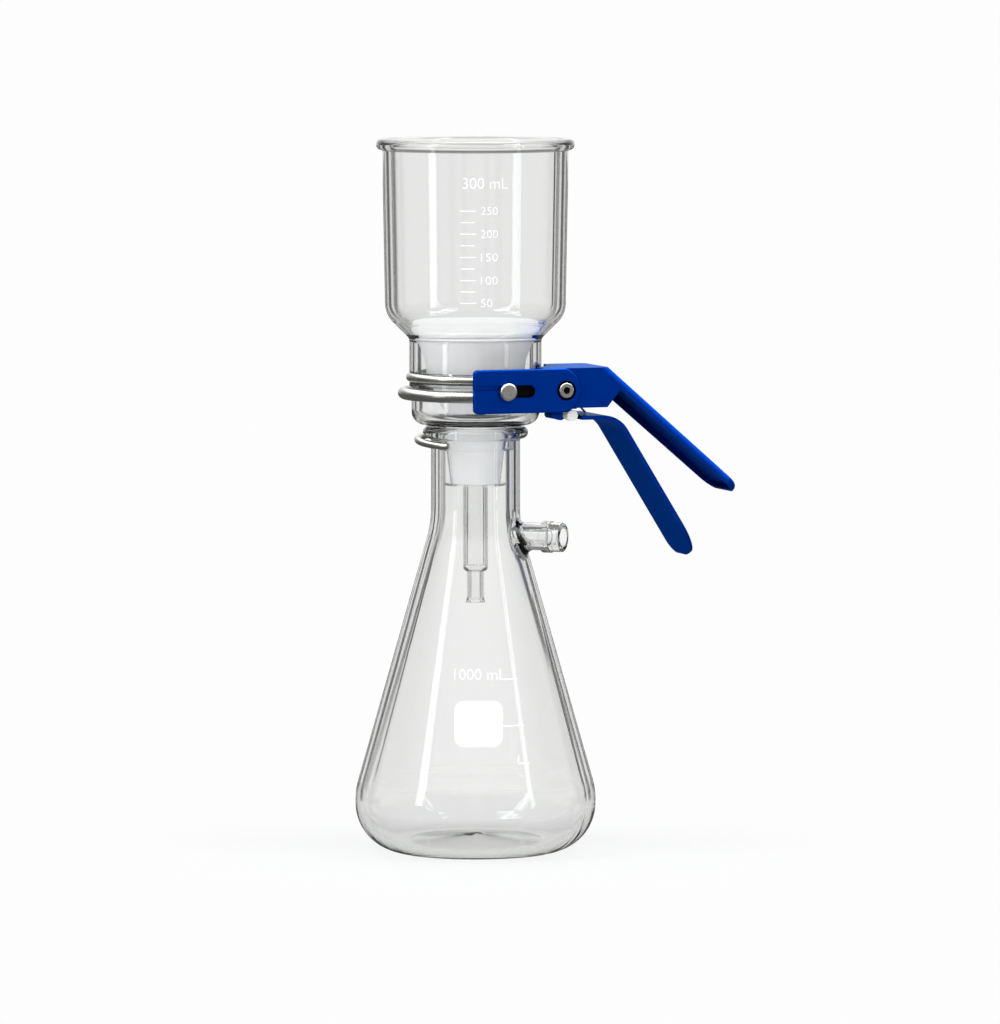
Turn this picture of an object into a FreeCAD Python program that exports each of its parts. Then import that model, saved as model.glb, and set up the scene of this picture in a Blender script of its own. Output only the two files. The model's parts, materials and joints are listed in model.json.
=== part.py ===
"""Vacuum filtration unit: filtering flask, stoppered glass support, graduated funnel and spring clamp.

Frame: the origin is the centre of the flask's foot on the table, +Z is up, and +X runs along the
clamp towards its handles. The clamp's pivot is parallel to Y, and the front of the unit faces -Y.
"""
import FreeCAD, Part
import math
import os
import Sketcher

Vector = FreeCAD.Vector

doc = FreeCAD.newDocument("vacuum_filtration_unit")

# ---------------------------------------------------------------------------------------------
# Driving dimensions, in millimetres and degrees
# ---------------------------------------------------------------------------------------------
DRIVING = {
    # flask, measured from the table
    "flask_height": 239.1,
    "flask_belly_radius": 67.4,
    "flask_belly_height": 34.7,
    "flask_belly_round": 40.0,
    "flask_heel_round": 27.0,
    "flask_foot_width": 2.6,
    "flask_push_up": 4.5,
    "flask_neck_radius": 24.9,
    "flask_neck_wall": 4.0,
    "flask_shoulder_drop": 54.4,
    "flask_shoulder_round": 60.0,
    "flask_wall": 3.5,
    "flask_base_thickness": 4.0,
    "flask_rim_stand_out": 4.5,
    "flask_rim_depth": 6.8,
    "flask_rim_round": 3.3,
    "flask_rim_root_round": 1.0,
    "flask_mouth_round": 1.5,
    # side arm of the flask
    "arm_drop": 60.9,
    "arm_radius": 7.65,
    "arm_bore": 3.8,
    "arm_nose": 11.8,
    "arm_root_round": 5.0,
    "arm_heading": -42.5,
    "barb_lead": 16.3,
    "barb_length": 5.4,
    "barb_radius": 8.85,
    "barb_round": 0.5,
    "nose_radius": 8.25,
    "nose_bore": 5.2,
    "nose_bore_depth": 8.0,
    # stopper and its core
    "stopper_length": 34.0,
    "stopper_stand_out": 1.0,
    "collar_depth": 14.0,
    "collar_gap": 0.5,
    "sleeve_wall": 0.9,
    "skirt_gap": 3.8,
    "skirt_depth": 1.3,
    "skirt_round": 0.4,
    "core_gap": 4.0,
    "core_narrowing": 3.9,
    "core_tip_round": 1.5,
    "core_recess": 0.3,
    "fit_gap": 0.03,
    # glass support: cup, stem and drip tip
    "cup_depth": 22.0,
    "flange_radius": 36.9,
    "base_flange_depth": 1.8,
    "base_flange_slope": 1.6,
    "flange_stand_out": 1.2,
    "cup_wall": 3.1,
    "cup_floor": 3.2,
    "cup_corner_round": 7.0,
    "cup_inner_round": 5.0,
    "stem_radius": 6.9,
    "stem_bore": 5.6,
    "stem_reach": 82.9,
    "stem_end_round": 2.0,
    "drip_radius": 4.7,
    "drip_flare": 5.5,
    "drip_flare_depth": 2.6,
    "drip_bore": 3.4,
    "drip_length": 17.3,
    "drip_bore_lead": 0.6,
    "bore_step_length": 3.0,
    # funnel
    "funnel_height": 137.4,
    "funnel_foot_wall": 5.5,
    "funnel_waist_wall": 6.6,
    "funnel_waist_low": 2.1,
    "funnel_waist_high": 5.2,
    "funnel_waist_blend": 2.6,
    "funnel_neck_wall": 3.3,
    "funnel_neck_length": 26.0,
    "funnel_neck_round": 4.0,
    "funnel_shoulder_spread": 13.5,
    "funnel_shoulder_round": 15.0,
    "funnel_mouth_spread": 1.7,
    "funnel_wall": 3.5,
    "ledge_inset": 0.3,
    "ledge_lift": 26.5,
    "bead_stand_out": 3.3,
    "bead_depth": 6.0,
    "bead_round": 2.9,
    "bead_root_round": 0.35,
    # white support insert and the disc on it
    "insert_foot_radius": 16.8,
    "insert_foot_lift": 2.5,
    "insert_bowl_radius": 19.6,
    "insert_bowl_lift": 5.0,
    "insert_bowl_round": 14.0,
    "insert_barrel_gap": 6.4,
    "insert_barrel_drop": 20.5,
    "insert_barrel_round": 12.0,
    "insert_flare_gap": 5.2,
    "insert_flare_drop": 11.5,
    "insert_flare_round": 20.0,
    "insert_lip_gap": 0.6,
    "insert_wall": 3.0,
    "insert_rim_gap": 0.4,
    "insert_rim_depth": 2.1,
    "insert_rim_round": 0.8,
    "insert_waist_step": 2.3,
    "insert_waist_depth": 1.2,
    "insert_top_plate": 4.0,
    "disc_gap": 0.3,
    "disc_thickness": 2.6,
    "disc_round": 1.15,
    # wire jaws
    "upper_ring_seat": 0.8,
    "upper_ring_wire": 2.65,
    "upper_ring_lift": 4.5,
    "upper_ring_leg_lead": 7.1,
    "upper_ring_gap": 0.25,
    "upper_ring_opening": 102.0,
    "lower_ring_gap": 0.7,
    "lower_ring_wire": 3.3,
    "lower_ring_drop": 4.4,
    "lower_ring_leg_lead": 3.7,
    "lower_ring_shift": 0.4,
    "lower_ring_opening": 102.0,
    "braze_depth": 0.5,
    # neck clip
    "clip_stand_off": 3.8,
    "clip_wire": 2.05,
    "clip_centre_x": -2.0,
    "clip_centre_y": 4.7,
    "clip_drop": 7.8,
    "clip_tilt": 4.8,
    "clip_facing": -20.0,
    "clip_first_end": 73.0,
    "clip_turn": 174.0,
    # jaw plate
    "plate_gap": 0.3,
    "plate_thickness": 3.0,
    "plate_height": 24.4,
    "plate_back": -17.2,
    "plate_end_lead": 8.4,
    "plate_end_round": 13.3,
    "plate_corner_round": 2.6,
    "plate_edge_round": 0.7,
    "pivot_lead": 0.2,
    "pivot_drop": 1.15,
    "stud_x": 2.2,
    "stud_travel": 12.9,
    "slot_width": 7.0,
    "slot_recess_depth": 1.4,
    "groove_width": 2.9,
    "groove_depth": 0.9,
    "groove_lift": 2.2,
    # upper lever
    "channel_width": 40.5,
    "channel_sheet": 1.8,
    "wall_lead": 12.1,
    "body_depth": 22.3,
    "body_top_lead": 26.7,
    "body_low_lead": 25.5,
    "body_apex_depth": 12.6,
    "upper_handle_angle": 40.9,
    "upper_handle_length": 105.0,
    "upper_handle_depth": 5.2,
    "upper_tip_depth": 4.4,
    "upper_hollow_drop": 30.0,
    "upper_handle_round": 3.2,
    "upper_tip_round": 9.0,
    "web_neck_gap": 2.7,
    # lower lever
    "lever_sheet": 2.2,
    "strip_drop": 16.85,
    "strip_lead": 6.4,
    "strip_inset": 3.0,
    "strip_bend_lead": 32.6,
    "strip_bend_round": 17.0,
    "lower_handle_angle": 58.3,
    "lower_handle_length": 94.0,
    "lower_tip_round_front": 21.0,
    "lower_tip_round_back": 8.0,
    "ear_sheet": 1.8,
    "ear_gap": 0.3,
    "ear_shoulder_height": 16.0,
    "ear_crown": 6.2,
    "ear_crown_width": 5.2,
    "ear_end_lead": 7.9,
    "ear_round": 2.0,
    "ear_heel_round": 4.5,
    "notch_lead": 0.3,
    "notch_head": 6.1,
    "notch_depth": 7.8,
    "tab_start_lead": 2.3,
    "tab_end_lead": 9.1,
    "tab_height": 5.4,
    "rear_ear_lead": 0.5,
    "rear_ear_height": 7.2,
    "relief_lead": 10.6,
    # pivot and its fasteners
    "screw_radius": 2.5,
    "screw_head_radius": 4.25,
    "screw_head_depth": 2.0,
    "screw_length": 23.9,
    "socket_flats": 3.6,
    "socket_depth": 1.4,
    "head_edge_round": 0.5,
    "counterbore_radius": 5.45,
    "counterbore_depth": 1.4,
    "hole_gap": 0.1,
    "running_gap": 0.05,
    "sleeve_radius": 3.3,
    "sleeve_set_back": 19.0,
    "washer_radius": 4.6,
    "washer_thickness": 0.8,
    "end_float": 0.2,
    "nut_flats": 8.0,
    "nut_thickness": 3.2,
    # spring
    "spring_wire": 0.6,
    "spring_radius": 4.5,
    "spring_pitch": 1.5,
    "spring_full_turns": 3,
    "spring_set_back": 12.3,
    "spring_upper_leg": 24.0,
    "spring_lower_leg": 19.0,
    "spring_end_gap": 0.1,
    # stop pin
    "pin_lead": 5.6,
    "pin_lift": 2.35,
    "pin_radius": 3.2,
    "pin_spigot_radius": 1.3,
    "pin_tab_gap": 0.3,
    # lock stud
    "stud_radius": 3.3,
    "stud_head_radius": 5.0,
    "stud_head_depth": 2.9,
    "stud_head_round": 1.2,
    "stud_float": 0.2,
    "stud_spigot_radius": 2.0,
    "retainer_radius": 5.0,
    "retainer_thickness": 1.0,
    "recess_side_gap": 0.3,
}

# Sizes and places that follow from the driving dimensions, so that what fits stays fitted
FITTED = {
    # flask
    "flask_neck_bore": "sizes.flask_neck_radius - sizes.flask_neck_wall",
    "flask_rim_radius": "sizes.flask_neck_radius + sizes.flask_rim_stand_out",
    "flask_shoulder_height": "sizes.flask_height - sizes.flask_shoulder_drop",
    "foot_outer": "sizes.flask_belly_radius - sizes.flask_heel_round",
    "foot_inner": "foot_outer - sizes.flask_foot_width",
    "flask_inner_radius": "sizes.flask_belly_radius - sizes.flask_wall",
    "flask_inner_heel": "sizes.flask_heel_round - sizes.flask_wall",
    "flask_inner_belly": "sizes.flask_belly_round - sizes.flask_wall",
    "flask_floor": "sizes.flask_push_up + sizes.flask_base_thickness",
    "flask_mouth_edge": "flask_neck_bore + sizes.flask_mouth_round",
    "flask_mouth_low": "sizes.flask_height - sizes.flask_mouth_round",
    "flask_rim_low": "sizes.flask_height - sizes.flask_rim_depth",
    "flask_above": "sizes.flask_height + 1",
    "arm_height": "sizes.flask_height - sizes.arm_drop",
    "barb_start": "sizes.flask_neck_radius + sizes.barb_lead",
    "arm_reach": "barb_start + sizes.arm_nose",
    "arm_top": "arm_height + sizes.arm_radius",
    "barb_end": "barb_start + sizes.barb_length",
    "barb_top": "arm_height + sizes.barb_radius",
    "nose_top": "arm_height + sizes.nose_radius",
    "bore_top": "arm_height + sizes.arm_bore",
    "nose_bore_top": "arm_height + sizes.nose_bore",
    "nose_bore_start": "arm_reach - sizes.nose_bore_depth",
    # stopper
    "stopper_top": "sizes.flask_height + sizes.stopper_stand_out",
    "stopper_tip": "stopper_top - sizes.stopper_length",
    "seal_radius": "flask_neck_bore - sizes.fit_gap",
    "collar_low": "stopper_top - sizes.collar_depth",
    "collar_low_radius": "seal_radius - sizes.collar_gap",
    "collar_taper": "(seal_radius - collar_low_radius) / (flask_mouth_low - collar_low)",
    "stopper_top_radius": "collar_low_radius + collar_taper * sizes.collar_depth",
    "core_tip": "stopper_tip + sizes.core_recess",
    "core_top_radius": "flask_neck_bore - sizes.core_gap",
    "core_tip_radius": "core_top_radius - sizes.core_narrowing",
    "core_taper": "sizes.core_narrowing / (stopper_top - core_tip)",
    "stopper_hole": "core_tip_radius - core_taper * sizes.core_recess + sizes.fit_gap",
    "stopper_hole_top": "core_top_radius + sizes.fit_gap",
    "skirt_radius": "flask_neck_bore - sizes.skirt_gap",
    "skirt_top": "stopper_tip + sizes.skirt_depth",
    "sleeve_tip_radius": "stopper_hole + core_taper * sizes.skirt_depth + sizes.sleeve_wall",
    "sleeve_top_radius": "stopper_hole_top - core_taper * sizes.collar_depth + sizes.sleeve_wall",
    "core_hole": "sizes.stem_radius + sizes.fit_gap",
    # glass support
    "cup_bottom": "stopper_top",
    "joint_height": "stopper_top + sizes.cup_depth",
    "cup_radius": "sizes.flange_radius - sizes.flange_stand_out",
    "cup_bore": "cup_radius - sizes.cup_wall",
    "cup_floor_height": "cup_bottom + sizes.cup_floor",
    "base_flange_low": "joint_height - sizes.base_flange_depth",
    "base_flange_root": "base_flange_low - sizes.base_flange_slope",
    "stem_end": "cup_bottom - sizes.stem_reach",
    "drip_end": "stem_end - sizes.drip_length",
    "drip_flare_start": "drip_end + sizes.drip_flare_depth",
    "bore_step_low": "stem_end + sizes.drip_bore_lead",
    "bore_step_high": "bore_step_low + sizes.bore_step_length",
    # funnel
    "funnel_foot_bore": "sizes.flange_radius - sizes.funnel_foot_wall",
    "funnel_waist_bore": "sizes.flange_radius - sizes.funnel_waist_wall",
    "funnel_shoulder_radius": "sizes.flange_radius + sizes.funnel_shoulder_spread",
    "funnel_mouth_radius": "funnel_shoulder_radius + sizes.funnel_mouth_spread",
    "bead_radius": "funnel_mouth_radius + sizes.bead_stand_out",
    "ledge_radius": "sizes.flange_radius - sizes.ledge_inset",
    "waist_low": "joint_height + sizes.funnel_waist_low",
    "waist_high": "joint_height + sizes.funnel_waist_high",
    "waist_top": "waist_high + sizes.funnel_waist_blend",
    "neck_bore": "sizes.flange_radius - sizes.funnel_neck_wall",
    "neck_top": "joint_height + sizes.funnel_neck_length",
    "shoulder_rise": "funnel_shoulder_radius - sizes.flange_radius",
    "shoulder_top": "neck_top + shoulder_rise",
    "ledge_height": "joint_height + sizes.ledge_lift",
    "inner_slope_shift": "sizes.funnel_wall * sqrt(2)",
    "ledge_top": "neck_top + ledge_radius - sizes.flange_radius + inner_slope_shift",
    "shoulder_bore": "funnel_shoulder_radius - sizes.funnel_wall",
    "shoulder_bore_height": "neck_top + shoulder_bore - sizes.flange_radius + inner_slope_shift",
    "shoulder_bore_round": "sizes.funnel_shoulder_round - sizes.funnel_wall",
    "funnel_top": "joint_height + sizes.funnel_height",
    "bead_low": "funnel_top - sizes.bead_depth",
    "mouth_bore": "funnel_mouth_radius - sizes.funnel_wall",
    # white insert and disc
    "insert_barrel_radius": "neck_bore - sizes.insert_barrel_gap",
    "insert_barrel_bore": "insert_barrel_radius - sizes.insert_wall",
    "insert_barrel_height": "ledge_height - sizes.insert_barrel_drop",
    "insert_flare_radius": "neck_bore - sizes.insert_flare_gap",
    "insert_lip_radius": "neck_bore - sizes.insert_lip_gap",
    "insert_foot": "cup_floor_height + sizes.insert_foot_lift",
    "insert_foot_bore": "sizes.insert_foot_radius - sizes.insert_wall",
    "insert_bowl_bore": "sizes.insert_bowl_radius - sizes.insert_wall",
    "insert_flare_bore": "insert_flare_radius - sizes.insert_wall",
    "insert_bowl_height": "insert_foot + sizes.insert_bowl_lift",
    "insert_flare_height": "ledge_height - sizes.insert_flare_drop",
    "insert_rim_radius": "ledge_radius - sizes.insert_rim_gap",
    "insert_waist_radius": "insert_rim_radius - sizes.insert_waist_step",
    "disc_radius": "ledge_radius - sizes.disc_gap",
    "insert_lip_bore": "insert_lip_radius - sizes.insert_wall",
    "insert_rim_top": "ledge_height + sizes.insert_rim_depth",
    "insert_top": "insert_rim_top + sizes.insert_waist_depth",
    "insert_ceiling": "insert_top - sizes.insert_top_plate",
    "disc_top": "insert_top + sizes.disc_thickness",
    # wire jaws and clip
    "upper_ring_radius": "sizes.flange_radius - sizes.upper_ring_seat",
    "upper_ring_height": "joint_height + sizes.upper_ring_lift",
    "lower_ring_radius": "cup_radius + sizes.lower_ring_wire + sizes.lower_ring_gap",
    "lower_ring_height": "joint_height - sizes.lower_ring_drop",
    "clip_radius": "sizes.flask_neck_radius + sizes.clip_stand_off",
    "clip_height": "sizes.flask_height - sizes.clip_drop",
    # jaw plate
    "plate_offset": "lower_ring_radius + sizes.lower_ring_wire + sizes.plate_gap",
    "pivot_height": "joint_height - sizes.pivot_drop",
    "pivot_x": "sizes.flange_radius + sizes.pivot_lead",
    "plate_end_reach": "pivot_x + sizes.plate_end_lead",
    "upper_ring_leg_end": "pivot_x - sizes.upper_ring_leg_lead",
    "lower_ring_leg_end": "pivot_x - sizes.lower_ring_leg_lead",
    "plate_low": "pivot_height - sizes.plate_height / 2",
    "plate_high": "pivot_height + sizes.plate_height / 2",
    "plate_face": "plate_offset + sizes.plate_thickness",
    "plate_round_x": "plate_end_reach - sizes.plate_end_round",
    "plate_arc_x": "plate_round_x + sqrt(sizes.plate_end_round ^ 2 - sizes.plate_height ^ 2 / 4)",
    "slot_end_x": "sizes.stud_x + sizes.stud_travel",
    "slot_half": "sizes.slot_width / 2",
    "recess_half": "sizes.retainer_radius + sizes.recess_side_gap",
    "groove_low": "pivot_height + sizes.groove_lift - sizes.groove_width / 2",
    "groove_high": "pivot_height + sizes.groove_lift + sizes.groove_width / 2",
    "counterbore_floor": "plate_face - sizes.counterbore_depth",
    "clearance_hole": "sizes.screw_radius + sizes.hole_gap",
    # upper lever
    "wall_start": "pivot_x - sizes.wall_lead",
    "body_top_reach": "pivot_x + sizes.body_top_lead",
    "body_low_reach": "pivot_x + sizes.body_low_lead",
    "channel_back": "plate_offset - sizes.channel_width",
    "front_wall_inside": "plate_offset - sizes.channel_sheet",
    "back_wall_inside": "channel_back + sizes.channel_sheet",
    "channel_inside": "sizes.channel_width - 2 * sizes.channel_sheet",
    "body_low": "plate_high - sizes.body_depth",
    "web_low": "plate_high - sizes.channel_sheet",
    "apex_height": "plate_high - sizes.body_apex_depth",
    "handle_cos": "cos(sizes.upper_handle_angle)",
    "handle_sin": "sin(sizes.upper_handle_angle)",
    "handle_tip_x": "body_top_reach + sizes.upper_handle_length * handle_cos",
    "handle_tip_z": "plate_high - sizes.upper_handle_length * handle_sin",
    "handle_end_x": "handle_tip_x - sizes.upper_tip_depth * handle_sin",
    "handle_end_z": "handle_tip_z - sizes.upper_tip_depth * handle_cos",
    "apex_x": "body_top_reach - sizes.upper_handle_depth * handle_sin"
              " + (sizes.body_apex_depth - sizes.upper_handle_depth * handle_cos)"
              " * handle_cos / handle_sin",
    "bend_inside_x": "body_top_reach - sizes.channel_sheet * (1 - handle_cos) / handle_sin",
    "inside_reach": "sizes.upper_handle_length - sizes.channel_sheet",
    "inside_tip_x": "body_top_reach + inside_reach * handle_cos - sizes.channel_sheet * handle_sin",
    "inside_tip_z": "plate_high - inside_reach * handle_sin - sizes.channel_sheet * handle_cos",
    "inside_end_x": "inside_tip_x - sizes.upper_hollow_drop * handle_sin",
    "inside_end_z": "inside_tip_z - sizes.upper_hollow_drop * handle_cos",
    "inside_tip_round": "sizes.upper_tip_round - sizes.channel_sheet",
    "web_cut_radius": "sizes.flange_radius + sizes.web_neck_gap",
    # lower lever
    "strip_height": "pivot_height - sizes.strip_drop",
    "strip_start": "pivot_x - sizes.strip_lead",
    "strip_root": "strip_start + sizes.strip_inset",
    "strip_bend_reach": "pivot_x + sizes.strip_bend_lead",
    "ear_end": "pivot_x + sizes.ear_end_lead",
    "notch_start": "pivot_x - sizes.notch_lead",
    "tab_start": "pivot_x + sizes.tab_start_lead",
    "tab_end": "pivot_x + sizes.tab_end_lead",
    "rear_ear_start": "pivot_x - sizes.rear_ear_lead",
    "relief_end": "pivot_x + sizes.relief_lead",
    "strip_top": "strip_height + sizes.lever_sheet",
    "lever_cos": "cos(sizes.lower_handle_angle)",
    "lever_sin": "sin(sizes.lower_handle_angle)",
    "lever_tip_x": "strip_bend_reach + sizes.lower_handle_length * lever_cos",
    "lever_tip_z": "strip_top - sizes.lower_handle_length * lever_sin",
    "lever_end_x": "lever_tip_x - sizes.lever_sheet * lever_sin",
    "lever_end_z": "lever_tip_z - sizes.lever_sheet * lever_cos",
    "strip_bend_inside": "strip_bend_reach - sizes.lever_sheet * (1 - lever_cos) / lever_sin",
    "strip_inner_round": "sizes.strip_bend_round - sizes.lever_sheet",
    "ear_outside": "front_wall_inside - sizes.ear_gap",
    "ear_inside": "ear_outside - sizes.ear_sheet",
    "rear_ear_outside": "back_wall_inside + sizes.ear_gap",
    "ear_shoulder": "strip_height + sizes.ear_shoulder_height",
    "ear_top": "pivot_height + sizes.ear_crown",
    "crown_back": "pivot_x - sizes.ear_crown_width / 2",
    "crown_front": "pivot_x + sizes.ear_crown_width / 2",
    "rear_ear_top": "strip_height + sizes.rear_ear_height",
    "notch_top": "strip_height + sizes.notch_head",
    "tab_front": "ear_outside - sizes.notch_depth",
    "tab_back": "tab_front - sizes.ear_sheet",
    "tab_top": "strip_height + sizes.tab_height",
    "tab_front_y": "-tab_front",
    "ear_front_y": "-ear_outside",
    "ear_rear_y": "-rear_ear_outside",
    "beyond_front_y": "-(plate_offset + 5)",
    # pivot stack, as distances in front of the unit's axis
    "screw_end_offset": "plate_offset - sizes.screw_length",
    "sleeve_end_offset": "plate_offset - sizes.sleeve_set_back",
    "spring_first_offset": "plate_offset - sizes.spring_set_back",
    "screw_head_face": "counterbore_floor + sizes.screw_head_depth",
    "sleeve_bore": "sizes.screw_radius + sizes.running_gap",
    "sleeve_hole": "sizes.sleeve_radius + 0.01",
    "washer_face": "sleeve_end_offset - sizes.end_float",
    "nut_face": "washer_face - sizes.washer_thickness",
    "nut_end": "nut_face - sizes.nut_thickness",
    "nut_bore": "sizes.screw_radius + sizes.fit_gap",
    "nut_corner": "sizes.nut_flats / sqrt(3)",
    "socket_corner": "sizes.socket_flats / sqrt(3)",
    # stop pin
    "pin_x": "pivot_x + sizes.pin_lead",
    "pin_height": "strip_height + sizes.pin_lift",
    "pin_shoulder": "tab_front + sizes.pin_tab_gap",
    "pin_hole": "sizes.pin_spigot_radius + sizes.fit_gap",
    # spring
    "spring_upper_reach": "web_low - sizes.spring_wire - sizes.spring_end_gap - pivot_height",
    "spring_lower_reach": "strip_top + sizes.spring_wire + sizes.spring_end_gap"
                          " - pivot_height",
    # stud
    "stud_head_back": "plate_face + sizes.stud_float",
    "stud_head_face": "stud_head_back + sizes.stud_head_depth",
    "recess_floor": "plate_offset + sizes.slot_recess_depth",
    "retainer_face": "recess_floor - sizes.stud_float",
    "retainer_back": "retainer_face - sizes.retainer_thickness",
    "retainer_hole": "sizes.stud_spigot_radius + 0.01",
    # wire jaws
    "upper_groove": "sizes.upper_ring_wire + sizes.upper_ring_gap",
    "upper_leg_offset": "front_wall_inside - sizes.upper_ring_wire + sizes.braze_depth",
    "lower_leg_offset": "ear_inside - sizes.lower_ring_wire + sizes.braze_depth",
}


def fill_sheet(name, cells):
    sheet = doc.addObject("Spreadsheet::Sheet", name)
    for row, (alias, content) in enumerate(cells.items(), start=1):
        sheet.set(f"A{row}", alias)
        sheet.set(f"B{row}", content)
        sheet.setAlias(f"B{row}", alias)
    doc.recompute()
    return sheet


sizes = fill_sheet("sizes", {alias: str(number) for alias, number in DRIVING.items()})
fits = fill_sheet("fits", {alias: "=" + formula for alias, formula in FITTED.items()})


def size(cell):
    """The value of a named cell; zero stands for itself."""
    if cell == 0:
        return 0.0
    return float(getattr(sizes if cell in DRIVING else fits, cell))


def cell_path(cell):
    return ("sizes." if cell in DRIVING else "fits.") + cell


def bind(item, prop, cell):
    item.setExpression(prop, cell_path(cell))


# ---------------------------------------------------------------------------------------------
# Modelling helpers
# ---------------------------------------------------------------------------------------------
sub_parts = []


def new_body(label):
    body = doc.addObject("PartDesign::Body", label)
    body.Label = label
    sub_parts.append(body)
    return body


def new_sketch(body, name, role, lift=None):
    """A sketch on one of the body's own origin planes, lifted along the plane's normal."""
    sketch = body.newObject("Sketcher::SketchObject", name)
    plane = next(item for item in body.Origin.OriginFeatures if item.Role == role)
    sketch.AttachmentSupport = [(plane, "")]
    sketch.MapMode = "FlatFace"
    if lift is not None:
        bind(sketch, "AttachmentOffset.Base.z", lift)
    return sketch


def pin_point(sketch, shape, end, across, up):
    """Tie one point of a sketch shape to two named cells, measured from the sketch's origin."""
    for kind, cell in (("DistanceX", across), ("DistanceY", up)):
        if cell == 0:
            axis = -2 if kind == "DistanceX" else -1
            sketch.addConstraint(Sketcher.Constraint("PointOnObject", shape, end, axis))
            continue
        index = sketch.addConstraint(Sketcher.Constraint(kind, -1, 1, shape, end, size(cell)))
        sketch.setExpression(f"Constraints[{index}]", cell_path(cell))


def draw_outline(sketch, corners):
    """A closed outline of straight lines through named corners, (across, up) each.

    A corner with a third name is rounded to that radius.
    """
    first = sketch.GeometryCount
    points = [Vector(size(corner[0]), size(corner[1]), 0) for corner in corners]
    for start, end in zip(points, points[1:] + points[:1]):
        sketch.addGeometry(Part.LineSegment(start, end))
    count = len(corners)
    for index in range(count):
        following = first + (index + 1) % count
        sketch.addConstraint(Sketcher.Constraint("Coincident", first + index, 2, following, 1))
    for index, corner in enumerate(corners):
        shape = first + index
        if len(corner) == 3:
            sketch.fillet(shape, 1, size(corner[2]), True, True)
            shape = sketch.GeometryCount - 1
            set_radius(sketch, shape - 1, corner[2])
        pin_point(sketch, shape, 1, corner[0], corner[1])


def set_radius(sketch, shape, cell):
    index = sketch.addConstraint(Sketcher.Constraint("Radius", shape, size(cell)))
    sketch.setExpression(f"Constraints[{index}]", cell_path(cell))


def draw_circle(sketch, across, up, radius):
    centre = Vector(size(across), size(up), 0)
    shape = sketch.addGeometry(Part.Circle(centre, Vector(0, 0, 1), size(radius)))
    pin_point(sketch, shape, 3, across, up)
    set_radius(sketch, shape, radius)


def draw_slot(sketch, start, end, up, half_width):
    """A round-ended slot between two centres at the same height."""
    height = size(up)
    half = size(half_width)
    left = Vector(size(start), height, 0)
    right = Vector(size(end), height, 0)
    rise = Vector(0, half, 0)
    axis = Vector(0, 0, 1)
    quarter = math.pi / 2
    left_arc = sketch.addGeometry(
        Part.ArcOfCircle(Part.Circle(left, axis, half), quarter, 3 * quarter))
    right_arc = sketch.addGeometry(
        Part.ArcOfCircle(Part.Circle(right, axis, half), -quarter, quarter))
    low = sketch.addGeometry(Part.LineSegment(left - rise, right - rise))
    high = sketch.addGeometry(Part.LineSegment(right + rise, left + rise))
    for arc, arc_end, line, line_end in (
            (left_arc, 2, low, 1), (right_arc, 1, low, 2),
            (right_arc, 2, high, 1), (left_arc, 1, high, 2)):
        sketch.addConstraint(Sketcher.Constraint("Tangent", arc, arc_end, line, line_end))
    pin_point(sketch, left_arc, 3, start, up)
    pin_point(sketch, right_arc, 3, end, up)
    set_radius(sketch, left_arc, half_width)


def draw_hexagon(sketch, across, up, corner_radius):
    """A hexagon round a named centre, with its corners on a circle of a named radius."""
    centre = Vector(size(across), size(up), 0)
    reach = size(corner_radius)
    points = [centre + Vector(reach * math.cos(math.radians(60 * step)),
                              reach * math.sin(math.radians(60 * step)), 0)
              for step in range(6)]
    for start, end in zip(points, points[1:] + points[:1]):
        sketch.addGeometry(Part.LineSegment(start, end))
    circle = sketch.addGeometry(Part.Circle(centre, Vector(0, 0, 1), reach), True)
    for index in range(6):
        following = (index + 1) % 6
        sketch.addConstraint(Sketcher.Constraint("Coincident", index, 2, following, 1))
        sketch.addConstraint(Sketcher.Constraint("PointOnObject", index, 1, circle))
        if index:
            sketch.addConstraint(Sketcher.Constraint("Equal", 0, index))
    sketch.addConstraint(Sketcher.Constraint("Horizontal", 1))
    pin_point(sketch, circle, 3, across, up)
    set_radius(sketch, circle, corner_radius)


def revolve(body, sketch, name, cut=False, axis="V_Axis"):
    kind = "PartDesign::Groove" if cut else "PartDesign::Revolution"
    before = body.Shape.Volume if cut else 0
    feature = body.newObject(kind, name)
    feature.Profile = sketch
    feature.ReferenceAxis = (sketch, [axis])
    feature.Angle = 360
    body.Tip = feature
    doc.recompute()
    if cut and body.Shape.Volume >= before:
        raise RuntimeError(f"{name} removed nothing from {body.Label}")
    return feature


def pad(body, sketch, name, length, away=False):
    """Thicken a sketch along its normal, or away from it."""
    feature = body.newObject("PartDesign::Pad", name)
    feature.Profile = sketch
    feature.Type = "Length"
    bind(feature, "Length", length)
    feature.Reversed = away
    body.Tip = feature
    doc.recompute()
    return feature


def pocket(body, sketch, name, length=None, along=False):
    """Cut a sketch through everything, or to a named depth, against its normal or along it."""
    before = body.Shape.Volume
    feature = body.newObject("PartDesign::Pocket", name)
    feature.Profile = sketch
    if length is None:
        feature.Type = "ThroughAll"
        feature.Midplane = True
    else:
        feature.Type = "Length"
        bind(feature, "Length", length)
        feature.Reversed = along
    body.Tip = feature
    doc.recompute()
    if body.Shape.Volume >= before:
        raise RuntimeError(f"{name} removed nothing from {body.Label}")
    return feature


def round_edges(body, name, radius, chosen):
    """Fillet the edges of the body's tip for which chosen(edge) is true."""
    base = body.Tip
    names = [f"Edge{index}" for index, edge in enumerate(base.Shape.Edges, start=1) if chosen(edge)]
    if not names:
        raise RuntimeError(f"{name} finds no edge on {body.Label}")
    feature = body.newObject("PartDesign::Fillet", name)
    feature.Base = (base, names)
    bind(feature, "Radius", radius)
    body.Tip = feature
    doc.recompute()
    return feature


def near(value, target):
    return abs(value - target) < 0.002


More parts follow.
